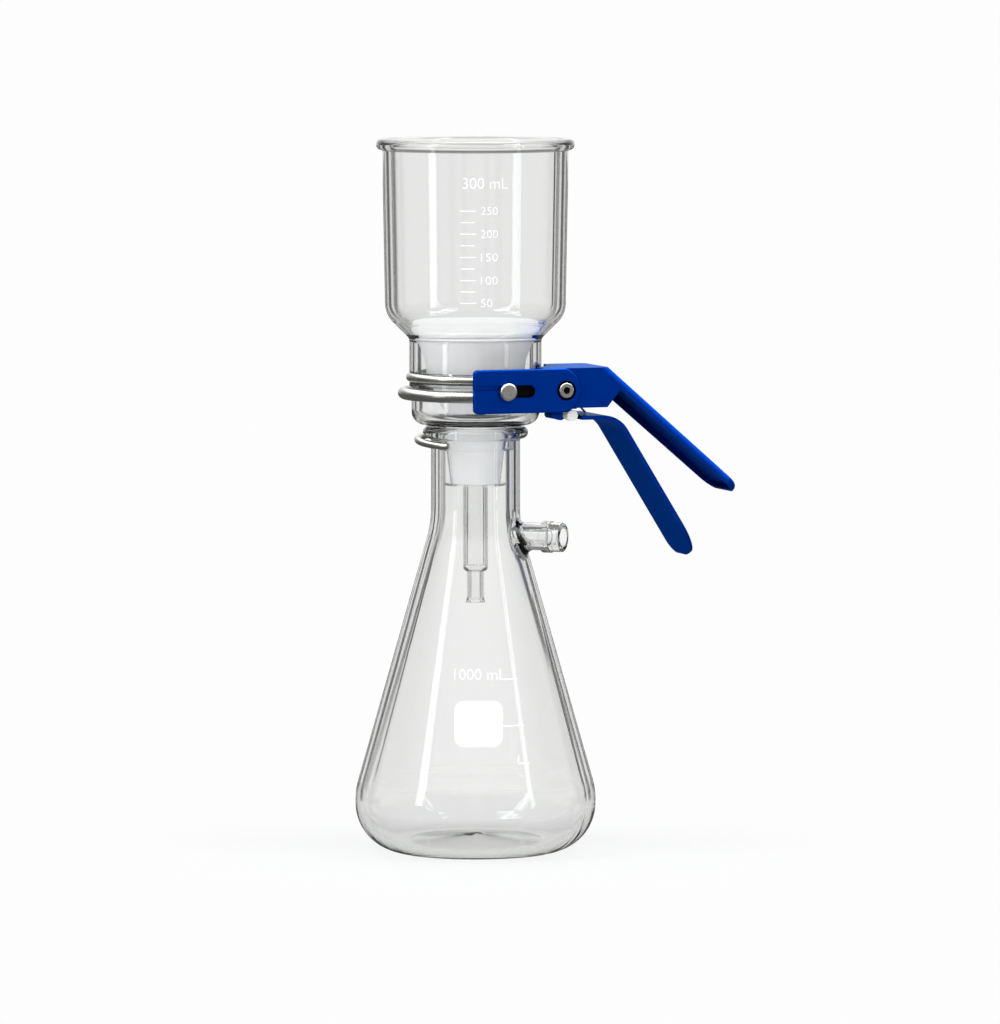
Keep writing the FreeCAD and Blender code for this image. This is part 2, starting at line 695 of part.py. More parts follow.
def line_at(direction, **places):
    """Chooses the straight edges along a direction whose middle has the given coordinates."""
    def chosen(edge):
        if edge.Curve.TypeId != "Part::GeomLine":
            return False
        if abs(abs(edge.Curve.Direction.dot(direction)) - 1) > 1e-6:
            return False
        middle = edge.valueAt((edge.FirstParameter + edge.LastParameter) / 2)
        return all(near(getattr(middle, axis), value) for axis, value in places.items())
    return chosen


def lathe(label, corners):
    """A body of revolution about the Z axis with the given (radius, height) outline."""
    body = new_body(label)
    sketch = new_sketch(body, label + "_outline", "XZ_Plane")
    draw_outline(sketch, corners)
    revolve(body, sketch, label + "_turned")
    return body


def turned_along_y(label, steps, centre_x, centre_z):
    """A solid turned about an axis parallel to Y, as (radius, from offset, to offset) steps.

    Offsets are distances in front of the unit's axis, towards -Y.
    """
    body = new_body(label)
    for index, (radius, back, front) in enumerate(steps):
        sketch = new_sketch(body, f"{label}_round_{index}", "XZ_Plane", back)
        draw_circle(sketch, centre_x, centre_z, radius)
        feature = body.newObject("PartDesign::Pad", f"{label}_step_{index}")
        feature.Profile = sketch
        feature.Type = "Length"
        feature.setExpression("Length", f"{cell_path(front)} - {cell_path(back)}")
        body.Tip = feature
        doc.recompute()
    return body


# ---------------------------------------------------------------------------------------------
# Glass and what stands in it
# ---------------------------------------------------------------------------------------------
def make_flask():
    body = lathe("flask", [
        (0, "flask_push_up"), ("foot_inner", 0), ("flask_belly_radius", 0, "flask_heel_round"),
        ("flask_belly_radius", "flask_belly_height", "flask_belly_round"),
        ("flask_neck_radius", "flask_shoulder_height", "flask_shoulder_round"),
        ("flask_neck_radius", "flask_rim_low", "flask_rim_root_round"),
        ("flask_rim_radius", "flask_rim_low", "flask_rim_round"),
        ("flask_rim_radius", "flask_height", "flask_rim_round"),
        (0, "flask_height")])
    arm = new_sketch(body, "arm_outline", "XZ_Plane")
    draw_outline(arm, [
        ("collar_low_radius", "arm_height"), ("arm_reach", "arm_height"),
        ("arm_reach", "nose_top", "barb_round"), ("barb_end", "nose_top"),
        ("barb_end", "barb_top", "barb_round"), ("barb_start", "barb_top", "barb_round"),
        ("barb_start", "arm_top"), ("collar_low_radius", "arm_top")])
    revolve_about_arm(body, arm, "arm_tube")
    round_edges(body, "arm_root", "arm_root_round", is_arm_root)

    inside = new_sketch(body, "inside_outline", "XZ_Plane")
    draw_outline(inside, [
        (0, "flask_floor"), ("foot_inner", "flask_base_thickness"),
        ("flask_inner_radius", "flask_base_thickness", "flask_inner_heel"),
        ("flask_inner_radius", "flask_belly_height", "flask_inner_belly"),
        ("flask_neck_bore", "flask_shoulder_height", "flask_shoulder_round"),
        ("flask_neck_bore", "flask_mouth_low"), ("flask_mouth_edge", "flask_height"),
        ("flask_mouth_edge", "flask_above"), (0, "flask_above")])
    revolve(body, inside, "flask_inside", cut=True)
    bore = new_sketch(body, "arm_bore_outline", "XZ_Plane")
    draw_outline(bore, [
        ("collar_low_radius", "arm_height"), ("arm_reach", "arm_height"),
        ("arm_reach", "nose_bore_top"), ("nose_bore_start", "nose_bore_top"),
        ("nose_bore_start", "bore_top"), ("collar_low_radius", "bore_top")])
    revolve_about_arm(body, bore, "arm_bore", cut=True)
    body.Placement.Rotation = FreeCAD.Rotation(Vector(0, 0, 1), size("arm_heading"))
    body.setExpression("Placement.Rotation.Angle", "sizes.arm_heading * 1 deg")
    return body


def revolve_about_arm(body, sketch, name, cut=False):
    """Revolve a sketch about its own first line, which lies on the side arm's axis."""
    feature = body.newObject("PartDesign::Groove" if cut else "PartDesign::Revolution", name)
    feature.Profile = sketch
    feature.ReferenceAxis = (sketch, ["Edge1"])
    feature.Angle = 360
    body.Tip = feature
    doc.recompute()
    return feature


def is_arm_root(edge):
    """The seam where the side arm leaves the flask's shoulder, before it is rounded."""
    box = edge.BoundBox
    height = size("arm_height")
    reach = size("arm_radius")
    if edge.Curve.TypeId in ("Part::GeomLine", "Part::GeomCircle"):
        return False
    return box.XMin > 0 and box.ZMin > height - reach - 1 and box.ZMax < height + reach + 1


def make_stopper():
    return lathe("stopper", [
        ("stopper_hole", "stopper_tip"), ("skirt_radius", "stopper_tip", "skirt_round"),
        ("skirt_radius", "skirt_top", "skirt_round"), ("sleeve_tip_radius", "skirt_top"),
        ("sleeve_top_radius", "collar_low"), ("collar_low_radius", "collar_low"),
        ("stopper_top_radius", "stopper_top"), ("stopper_hole_top", "stopper_top")])


def make_stem_bushing():
    return lathe("stem_bushing", [
        ("core_hole", "core_tip"), ("core_tip_radius", "core_tip", "core_tip_round"),
        ("core_top_radius", "stopper_top"), ("core_hole", "stopper_top")])


def make_support_base():
    return lathe("support_base", [
        ("cup_bore", "joint_height"), ("flange_radius", "joint_height"),
        ("flange_radius", "base_flange_low"), ("cup_radius", "base_flange_root"),
        ("cup_radius", "cup_bottom", "cup_corner_round"), ("stem_radius", "cup_bottom"),
        ("stem_radius", "stem_end", "stem_end_round"), ("drip_radius", "stem_end"),
        ("drip_radius", "drip_flare_start"), ("drip_flare", "drip_end"),
        ("drip_bore", "drip_end"), ("drip_bore", "bore_step_low"), ("stem_bore", "bore_step_high"),
        ("stem_bore", "cup_floor_height"), ("cup_bore", "cup_floor_height", "cup_inner_round")])


def make_filter_support():
    return lathe("filter_support", [
        ("insert_foot_bore", "insert_foot"), ("insert_foot_radius", "insert_foot"),
        ("insert_bowl_radius", "insert_bowl_height", "insert_bowl_round"),
        ("insert_barrel_radius", "insert_barrel_height", "insert_barrel_round"),
        ("insert_flare_radius", "insert_flare_height", "insert_flare_round"),
        ("insert_lip_radius", "ledge_height"),
        ("insert_rim_radius", "ledge_height", "insert_rim_round"),
        ("insert_rim_radius", "insert_rim_top", "insert_rim_round"),
        ("insert_waist_radius", "insert_rim_top"), ("insert_waist_radius", "insert_top"),
        (0, "insert_top"), (0, "insert_ceiling"), ("insert_lip_bore", "insert_ceiling"),
        ("insert_flare_bore", "insert_flare_height"),
        ("insert_barrel_bore", "insert_barrel_height"), ("insert_bowl_bore", "insert_bowl_height")])


def make_filter_disc():
    return lathe("filter_disc", [
        (0, "insert_top"), ("disc_radius", "insert_top", "disc_round"),
        ("disc_radius", "disc_top", "disc_round"), (0, "disc_top")])


def make_funnel():
    body = lathe("funnel", [
        ("funnel_foot_bore", "joint_height"), ("flange_radius", "joint_height"),
        ("flange_radius", "neck_top", "funnel_neck_round"),
        ("funnel_shoulder_radius", "shoulder_top", "funnel_shoulder_round"),
        ("funnel_mouth_radius", "bead_low", "bead_root_round"),
        ("bead_radius", "bead_low", "bead_round"), ("bead_radius", "funnel_top", "bead_round"),
        ("mouth_bore", "funnel_top", "bead_round"),
        ("shoulder_bore", "shoulder_bore_height", "shoulder_bore_round"),
        ("ledge_radius", "ledge_top"), ("ledge_radius", "ledge_height"),
        ("neck_bore", "ledge_height"), ("neck_bore", "waist_top"),
        ("funnel_waist_bore", "waist_high"), ("funnel_waist_bore", "waist_low")])
    waist = new_sketch(body, "waist_outline", "XZ_Plane")
    draw_circle(waist, "upper_ring_radius", "upper_ring_height", "upper_groove")
    revolve(body, waist, "waist_groove", cut=True)
    return body


# ---------------------------------------------------------------------------------------------
# Bent wire
# ---------------------------------------------------------------------------------------------
def make_wire_jaw(label, radius, wire, height, leg_end, leg_offset, shift, opening):
    """A wire bent round the glass, with one straight leg that runs back beside the lever.

    In the body's own frame the wire's circle is centred on the origin and the leg runs along +X
    from the circle's front point; the body is then turned until the leg's end meets its wall.
    """
    end_x = size(leg_end) + shift
    end_y = -size(leg_offset)
    reach = math.hypot(end_x, end_y)
    tangent = math.degrees(math.atan2(end_y, end_x) - math.acos(size(radius) / reach))
    leg_length = math.sqrt(reach ** 2 - size(radius) ** 2)

    body = new_body(label)
    section = new_sketch(body, label + "_section", "YZ_Plane")
    centre = Vector(-size(radius), 0, 0)
    circle = section.addGeometry(Part.Circle(centre, Vector(0, 0, 1), size(wire)))
    section.addConstraint(Sketcher.Constraint("PointOnObject", circle, 3, -1))
    index = section.addConstraint(Sketcher.Constraint("DistanceX", circle, 3, -1, 1, size(radius)))
    section.setExpression(f"Constraints[{index}]", cell_path(radius))
    set_radius(section, circle, wire)

    leg = body.newObject("PartDesign::Pad", label + "_leg")
    leg.Profile = section
    leg.Length = leg_length
    body.Tip = leg
    doc.recompute()
    bend = body.newObject("PartDesign::Revolution", label + "_bend")
    bend.Profile = section
    bend.ReferenceAxis = (section, ["V_Axis"])
    bend.Reversed = True
    bend.setExpression("Angle", f"360 - {cell_path(opening)}")
    body.Tip = bend
    doc.recompute()
    half_wire = 0.6 * size(wire)
    fillet = body.newObject("PartDesign::Fillet", label + "_ends")
    ends = [f"Edge{index}" for index, edge in enumerate(bend.Shape.Edges, start=1)
            if edge.Curve.TypeId == "Part::GeomCircle" and near(edge.Curve.Radius, size(wire))
            and is_wire_end(bend.Shape, edge)]
    fillet.Base = (bend, ends)
    fillet.Radius = half_wire
    body.Tip = fillet
    body.Placement.Rotation = FreeCAD.Rotation(Vector(0, 0, 1), tangent + 90)
    body.Placement.Base.x = -shift
    bind(body, "Placement.Base.z", height)
    return body


def is_wire_end(shape, edge):
    """True for an edge that bounds a flat end face of the wire."""
    faces = shape.ancestorsOfType(edge, Part.Face)
    return any(face.Surface.TypeId == "Part::GeomPlane" for face in faces)


def make_upper_ring():
    return make_wire_jaw("upper_ring", "upper_ring_radius", "upper_ring_wire", "upper_ring_height",
                         "upper_ring_leg_end", "upper_leg_offset", 0.0, "upper_ring_opening")


def make_lower_ring():
    return make_wire_jaw("lower_ring", "lower_ring_radius", "lower_ring_wire", "lower_ring_height",
                         "lower_ring_leg_end", "lower_leg_offset", size("lower_ring_shift"),
                         "lower_ring_opening")


def make_neck_clip():
    """An open ring of wire that hooks over the flask's rim behind and dips under it in front."""
    body = new_body("neck_clip")
    section = new_sketch(body, "clip_section", "XZ_Plane")
    draw_circle(section, "clip_radius", 0, "clip_wire")
    bend = body.newObject("PartDesign::Revolution", "clip_bend")
    bend.Profile = section
    bend.ReferenceAxis = (section, ["V_Axis"])
    bind(bend, "Angle", "clip_turn")
    body.Tip = bend
    doc.recompute()
    fillet = body.newObject("PartDesign::Fillet", "clip_ends")
    fillet.Base = (bend, [f"Edge{index}" for index, edge in enumerate(bend.Shape.Edges, start=1)
                          if is_wire_end(bend.Shape, edge)
                          and edge.Curve.TypeId == "Part::GeomCircle"
                          and near(edge.Curve.Radius, size("clip_wire"))])
    fillet.Radius = 0.6 * size("clip_wire")
    body.Tip = fillet
    facing = FreeCAD.Rotation(Vector(0, 0, 1), size("clip_facing"))
    tilt = FreeCAD.Rotation(Vector(1, 0, 0), size("clip_tilt"))
    start = FreeCAD.Rotation(Vector(0, 0, 1), size("clip_first_end"))
    body.Placement.Rotation = facing.multiply(tilt).multiply(start)
    for axis, cell in (("x", "clip_centre_x"), ("y", "clip_centre_y"), ("z", "clip_height")):
        bind(body, "Placement.Base." + axis, cell)
    return body


def make_torsion_spring():
    """A coil round the sleeve whose legs cross and press the web and the strip apart.

    In its own frame the coil's axis is Z, +X is the unit's +X and +Y points down.
    """
    wire = size("spring_wire")
    coil = size("spring_radius")
    pitch = size("spring_pitch")
    ends = (Vector(size("spring_upper_leg"), -size("spring_upper_reach"), 0),
            Vector(size("spring_lower_leg"), -size("spring_lower_reach"), 0))
    angles = [math.degrees(math.atan2(end.y, end.x) + side * math.acos(coil / end.Length))
              for end, side in zip(ends, (1, -1))]
    turns = size("spring_full_turns") + ((angles[1] - angles[0]) % 360) / 360

    helix = Part.makeHelix(pitch, pitch * turns, coil)
    section = Part.Wire(Part.makeCircle(wire, Vector(coil, 0, 0), Vector(0, 1, 0)))
    shape = Part.Wire(helix.Edges).makePipeShell([section], True, True)
    shape.rotate(Vector(0, 0, 0), Vector(0, 0, 1), angles[0])
    for end, angle, lift in zip(ends, angles, (0, pitch * turns)):
        root = Vector(coil * math.cos(math.radians(angle)), coil * math.sin(math.radians(angle)), lift)
        along = end + Vector(0, 0, lift) - root
        shape = shape.fuse([Part.makeCylinder(wire, along.Length, root, along),
                            Part.makeSphere(wire, root)])
    spring = doc.addObject("Part::Feature", "torsion_spring")
    spring.Label = "torsion_spring"
    spring.Shape = shape
    to_pivot = Vector(size("pivot_x"), -size("spring_first_offset"), size("pivot_height"))
    spring.Placement = FreeCAD.Placement(to_pivot, FreeCAD.Rotation(Vector(1, 0, 0), -90))
    sub_parts.append(spring)
    return spring


# ---------------------------------------------------------------------------------------------
# Clamp
# ---------------------------------------------------------------------------------------------
ALONG_X = Vector(1, 0, 0)
ALONG_Y = Vector(0, 1, 0)
ALONG_Z = Vector(0, 0, 1)


def make_jaw_plate():
    body = new_body("jaw_plate")
    outline = new_sketch(body, "plate_outline", "XZ_Plane", "plate_offset")
    low = Vector(size("plate_arc_x"), size("plate_low"), 0)
    high = Vector(size("plate_arc_x"), size("plate_high"), 0)
    tip = Vector(size("plate_end_reach"), size("pivot_height"), 0)
    back_low = Vector(size("plate_back"), size("plate_low"), 0)
    back_high = Vector(size("plate_back"), size("plate_high"), 0)
    bottom = outline.addGeometry(Part.LineSegment(back_low, low))
    arc = outline.addGeometry(Part.Arc(low, tip, high))
    top = outline.addGeometry(Part.LineSegment(high, back_high))
    back = outline.addGeometry(Part.LineSegment(back_high, back_low))
    for first, first_end, second, second_end in (
            (bottom, 2, arc, 1), (arc, 2, top, 1), (top, 2, back, 1), (back, 2, bottom, 1)):
        outline.addConstraint(Sketcher.Constraint("Coincident", first, first_end, second, second_end))
    pin_point(outline, bottom, 1, "plate_back", "plate_low")
    pin_point(outline, arc, 1, "plate_arc_x", "plate_low")
    pin_point(outline, top, 1, "plate_arc_x", "plate_high")
    pin_point(outline, back, 1, "plate_back", "plate_high")
    set_radius(outline, arc, "plate_end_round")
    pad(body, outline, "plate_blank", "plate_thickness")
    corners = [line_at(ALONG_Y, x=size(place)) for place in ("plate_back", "plate_arc_x")]
    round_edges(body, "plate_corners", "plate_corner_round",
                lambda edge: any(corner(edge) for corner in corners))
    face = -size("plate_face")
    round_edges(body, "plate_edge", "plate_edge_round",
                lambda edge: near(edge.BoundBox.YMin, face) and near(edge.BoundBox.YMax, face))

    slot = new_sketch(body, "slot_outline", "XZ_Plane", "plate_offset")
    draw_slot(slot, "stud_x", "slot_end_x", "pivot_height", "slot_half")
    pocket(body, slot, "slot")
    recess = new_sketch(body, "recess_outline", "XZ_Plane", "plate_offset")
    draw_slot(recess, "stud_x", "slot_end_x", "pivot_height", "recess_half")
    pocket(body, recess, "slot_recess", "slot_recess_depth", along=True)
    groove = new_sketch(body, "groove_outline", "XZ_Plane", "plate_face")
    draw_outline(groove, [("plate_back", "groove_low"), ("stud_x", "groove_low"),
                          ("stud_x", "groove_high"), ("plate_back", "groove_high")])
    pocket(body, groove, "entry_groove", "groove_depth")
    hole = new_sketch(body, "pivot_hole_outline", "XZ_Plane", "plate_offset")
    draw_circle(hole, "pivot_x", "pivot_height", "clearance_hole")
    pocket(body, hole, "pivot_hole")
    counterbore = new_sketch(body, "counterbore_outline", "XZ_Plane", "plate_face")
    draw_circle(counterbore, "pivot_x", "pivot_height", "counterbore_radius")
    pocket(body, counterbore, "counterbore", "counterbore_depth")
    return body


def make_upper_lever():
    body = new_body("upper_lever")
    outline = new_sketch(body, "channel_outline", "XZ_Plane", "channel_back")
    draw_outline(outline, [
        ("wall_start", "plate_high"), ("body_top_reach", "plate_high"),
        ("handle_tip_x", "handle_tip_z"), ("handle_end_x", "handle_end_z"),
        ("apex_x", "apex_height"), ("body_low_reach", "body_low"), ("wall_start", "body_low")])
    pad(body, outline, "channel_block", "channel_width")
    inside = new_sketch(body, "channel_inside_outline", "XZ_Plane", "front_wall_inside")
    draw_outline(inside, [
        (0, "web_low"), ("bend_inside_x", "web_low"), ("inside_tip_x", "inside_tip_z"),
        ("inside_end_x", "inside_end_z"), (0, "inside_end_z")])
    pocket(body, inside, "channel_hollow", "channel_inside")
    across = Vector(size("handle_sin"), 0, size("handle_cos"))
    for name, radius, front, back in (
            ("hollow_corners", "inside_tip_round", "front_wall_inside", "back_wall_inside"),
            ("handle_corners", "upper_tip_round", "plate_offset", "channel_back")):
        sides = [line_at(across, y=-size(side)) for side in (front, back)]
        round_edges(body, name, radius, lambda edge: any(side(edge) for side in sides))
    slope = Vector(size("handle_cos"), 0, -size("handle_sin"))
    straight = size("upper_handle_length") - size("upper_tip_round")
    middle = size("body_top_reach") + straight * size("handle_cos") / 2
    round_edges(body, "handle_shoulders", "upper_handle_round", line_at(slope, x=middle))
    neck = new_sketch(body, "neck_outline", "XY_Plane")
    draw_circle(neck, 0, 0, "web_cut_radius")
    pocket(body, neck, "neck_clearance")
    hole = new_sketch(body, "lever_pivot_outline", "XZ_Plane", "plate_offset")
    draw_circle(hole, "pivot_x", "pivot_height", "clearance_hole")
    pocket(body, hole, "lever_pivot_hole", "channel_sheet")
    return body


def make_lower_lever():
    body = new_body("lower_lever")
    outline = new_sketch(body, "strip_outline", "XZ_Plane", "channel_back")
    draw_outline(outline, [
        ("strip_root", "strip_height", "ear_round"),
        ("strip_bend_inside", "strip_height", "strip_inner_round"),
        ("lever_end_x", "lever_end_z"), ("lever_tip_x", "lever_tip_z"),
        ("strip_bend_reach", "strip_top", "strip_bend_round"), ("strip_root", "strip_top")])
    pad(body, outline, "strip_blank", "channel_width")
    across = Vector(size("lever_sin"), 0, size("lever_cos"))
    round_edges(body, "tip_front", "lower_tip_round_front",
                line_at(across, y=-size("plate_offset")))
    round_edges(body, "tip_back", "lower_tip_round_back",
                line_at(across, y=-size("channel_back")))
    relief = new_sketch(body, "relief_outline", "XY_Plane")
    draw_outline(relief, [(0, "beyond_front_y"), ("relief_end", "beyond_front_y"),
                          ("relief_end", "ear_front_y"), (0, "ear_front_y")])
    draw_outline(relief, [(0, "ear_rear_y"), ("relief_end", "ear_rear_y"),
                          ("relief_end", 0), (0, 0)])
    pocket(body, relief, "relief")
    notch = new_sketch(body, "notch_outline", "XY_Plane")
    draw_outline(notch, [("notch_start", "beyond_front_y"), ("relief_end", "beyond_front_y"),
                         ("relief_end", "tab_front_y"), ("notch_start", "tab_front_y")])
    pocket(body, notch, "pin_notch")

    ear = new_sketch(body, "ear_outline", "XZ_Plane", "ear_inside")
    draw_outline(ear, [
        ("strip_start", "strip_height", "ear_heel_round"), ("notch_start", "strip_height"),
        ("notch_start", "notch_top"), ("ear_end", "notch_top"),
        ("ear_end", "ear_shoulder", "ear_round"), ("crown_front", "ear_top", "ear_round"),
        ("crown_back", "ear_top", "ear_round"), ("strip_start", "ear_shoulder", "ear_round")])
    pad(body, ear, "front_ear", "ear_sheet")
    for name, lift, start, end, top in (
            ("rear_ear", "rear_ear_outside", "rear_ear_start", "ear_end", "rear_ear_top"),
            ("pin_tab", "tab_back", "tab_start", "tab_end", "tab_top")):
        tab = new_sketch(body, name + "_outline", "XZ_Plane", lift)
        draw_outline(tab, [(start, "strip_height"), (end, "strip_height"),
                           (end, top, "ear_round"), (start, top, "ear_round")])
        pad(body, tab, name, "ear_sheet")

    neck = new_sketch(body, "lever_neck_outline", "XY_Plane")
    draw_circle(neck, 0, 0, "web_cut_radius")
    pocket(body, neck, "lever_neck_clearance")
    hole = new_sketch(body, "pin_hole_outline", "XZ_Plane", "tab_front")
    draw_circle(hole, "pin_x", "pin_height", "pin_hole")
    pocket(body, hole, "pin_hole", "ear_sheet")
    hole = new_sketch(body, "sleeve_hole_outline", "XZ_Plane", "ear_outside")
    draw_circle(hole, "pivot_x", "pivot_height", "sleeve_hole")
    pocket(body, hole, "sleeve_hole", "ear_sheet")
    return body


def make_pivot_screw():
    body = turned_along_y("pivot_screw", [
        ("screw_head_radius", "counterbore_floor", "screw_head_face"),
        ("screw_radius", "screw_end_offset", "counterbore_floor")], "pivot_x", "pivot_height")
    face = -size("screw_head_face")
    round_edges(body, "screw_head_edge", "head_edge_round",
                lambda edge: near(edge.BoundBox.YMin, face) and near(edge.BoundBox.YMax, face))
    socket = new_sketch(body, "socket_outline", "XZ_Plane", "screw_head_face")
    draw_hexagon(socket, "pivot_x", "pivot_height", "socket_corner")
    pocket(body, socket, "socket", "socket_depth")
    return body


def make_pivot_sleeve():
    body = turned_along_y("pivot_sleeve", [
        ("sleeve_radius", "sleeve_end_offset", "ear_outside")], "pivot_x", "pivot_height")
    bore = new_sketch(body, "sleeve_bore_outline", "XZ_Plane", "ear_outside")
    draw_circle(bore, "pivot_x", "pivot_height", "sleeve_bore")
    pocket(body, bore, "sleeve_bore", "ear_outside")
    return body


def make_pivot_washer():
    body = turned_along_y("pivot_washer", [
        ("washer_radius", "nut_face", "washer_face")], "pivot_x", "pivot_height")
    bore = new_sketch(body, "washer_bore_outline", "XZ_Plane", "washer_face")
    draw_circle(bore, "pivot_x", "pivot_height", "clearance_hole")
    pocket(body, bore, "washer_bore", "washer_face")
    return body


def make_pivot_nut():
    body = new_body("pivot_nut")
    outline = new_sketch(body, "nut_outline", "XZ_Plane", "nut_end")
    draw_hexagon(outline, "pivot_x", "pivot_height", "nut_corner")
    pad(body, outline, "nut_blank", "nut_thickness")
    bore = new_sketch(body, "nut_bore_outline", "XZ_Plane", "nut_face")
    draw_circle(bore, "pivot_x", "pivot_height", "nut_bore")
    pocket(body, bore, "nut_bore", "nut_face")
    return body


def make_stop_pin():
    body = turned_along_y("stop_pin", [
        ("pin_radius", "pin_shoulder", "ear_outside"),
        ("pin_spigot_radius", "tab_back", "pin_shoulder")], "pin_x", "pin_height")
    face = -size("ear_outside")
    round_edges(body, "pin_edge", "head_edge_round",
                lambda edge: near(edge.BoundBox.YMin, face) and near(edge.BoundBox.YMax, face))
    return body


def make_lock_stud():
    body = turned_along_y("lock_stud", [
        ("stud_head_radius", "stud_head_back", "stud_head_face"),
        ("stud_radius", "retainer_face", "stud_head_back"),
        ("stud_spigot_radius", "retainer_back", "retainer_face")], "stud_x", "pivot_height")
    face = -size("stud_head_face")
    round_edges(body, "stud_dome", "stud_head_round",
                lambda edge: near(edge.BoundBox.YMin, face) and near(edge.BoundBox.YMax, face))
    return body


def make_stud_retainer():
    body = turned_along_y("stud_retainer", [
        ("retainer_radius", "retainer_back", "retainer_face")], "stud_x", "pivot_height")
    bore = new_sketch(body, "retainer_bore_outline", "XZ_Plane", "retainer_face")
    draw_circle(bore, "stud_x", "pivot_height", "retainer_hole")
    pocket(body, bore, "retainer_bore", "retainer_face")
    return body


# ---------------------------------------------------------------------------------------------
# Build, check and write
# ---------------------------------------------------------------------------------------------
for make in (
        make_flask, make_stopper, make_stem_bushing, make_support_base, make_filter_support,
        make_filter_disc, make_funnel, make_neck_clip, make_upper_ring, make_lower_ring,
        make_jaw_plate, make_upper_lever, make_lower_lever, make_pivot_screw, make_pivot_sleeve,
        make_pivot_washer, make_pivot_nut, make_torsion_spring, make_stop_pin, make_lock_stud,
        make_stud_retainer):
    make()
doc.recompute()

for item in doc.Objects:
    if "Invalid" in item.State or "Error" in item.State:
        raise RuntimeError(f"{item.Label} did not build: {item.State}")
for part in sub_parts:
    if part.Shape.isNull() or not part.Shape.isValid():
        raise RuntimeError(f"{part.Label} has no valid shape")

os.makedirs("parts", exist_ok=True)
for part in sub_parts:
    part.Shape.exportStep(f"parts/{part.Label}.step")
    solids = len(part.Shape.Solids)
    print(f"{part.Label}: {solids} solid, {part.Shape.Volume / 1000:.2f} cm3")
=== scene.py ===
"""Looks model and photograph-like scene of the vacuum filtration unit."""
import json
import math

import bpy
import bmesh
import numpy as np
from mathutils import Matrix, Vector
from mathutils.bvhtree import BVHTree


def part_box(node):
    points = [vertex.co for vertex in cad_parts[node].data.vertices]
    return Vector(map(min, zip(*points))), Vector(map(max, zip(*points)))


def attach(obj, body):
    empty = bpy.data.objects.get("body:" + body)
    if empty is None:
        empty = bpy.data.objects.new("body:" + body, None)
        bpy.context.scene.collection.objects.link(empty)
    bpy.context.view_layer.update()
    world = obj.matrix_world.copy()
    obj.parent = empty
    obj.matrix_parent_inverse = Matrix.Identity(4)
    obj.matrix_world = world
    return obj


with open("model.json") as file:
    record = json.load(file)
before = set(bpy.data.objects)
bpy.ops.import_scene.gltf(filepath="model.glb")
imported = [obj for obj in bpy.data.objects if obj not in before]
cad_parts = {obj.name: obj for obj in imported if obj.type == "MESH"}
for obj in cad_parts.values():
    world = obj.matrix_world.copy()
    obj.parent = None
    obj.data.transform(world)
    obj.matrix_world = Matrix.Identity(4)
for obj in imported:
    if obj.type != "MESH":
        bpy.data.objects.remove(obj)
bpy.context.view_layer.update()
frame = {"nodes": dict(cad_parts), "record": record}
nodes = frame["nodes"]
scene = bpy.context.scene

MM = 0.001
PIVOT = sum((Vector(corner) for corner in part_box("pivot_screw")), Vector()) / 2
# Painted shade: dark radius in the plate round the screw's head, and in the head for its hex socket
COUNTERBORE_SHADE_RADIUS = 5.6 * MM
SOCKET_SHADE_RADIUS = 2.0 * MM
# How far off the blue sheet still darkens it with painted shade, in channels, crevices and under edges
SELF_SHADE_REACH = 22 * MM
# Sockets of the mix node when it mixes colours
FIRST_COLOUR, SECOND_COLOUR, MIXED_COLOUR = 6, 7, 2


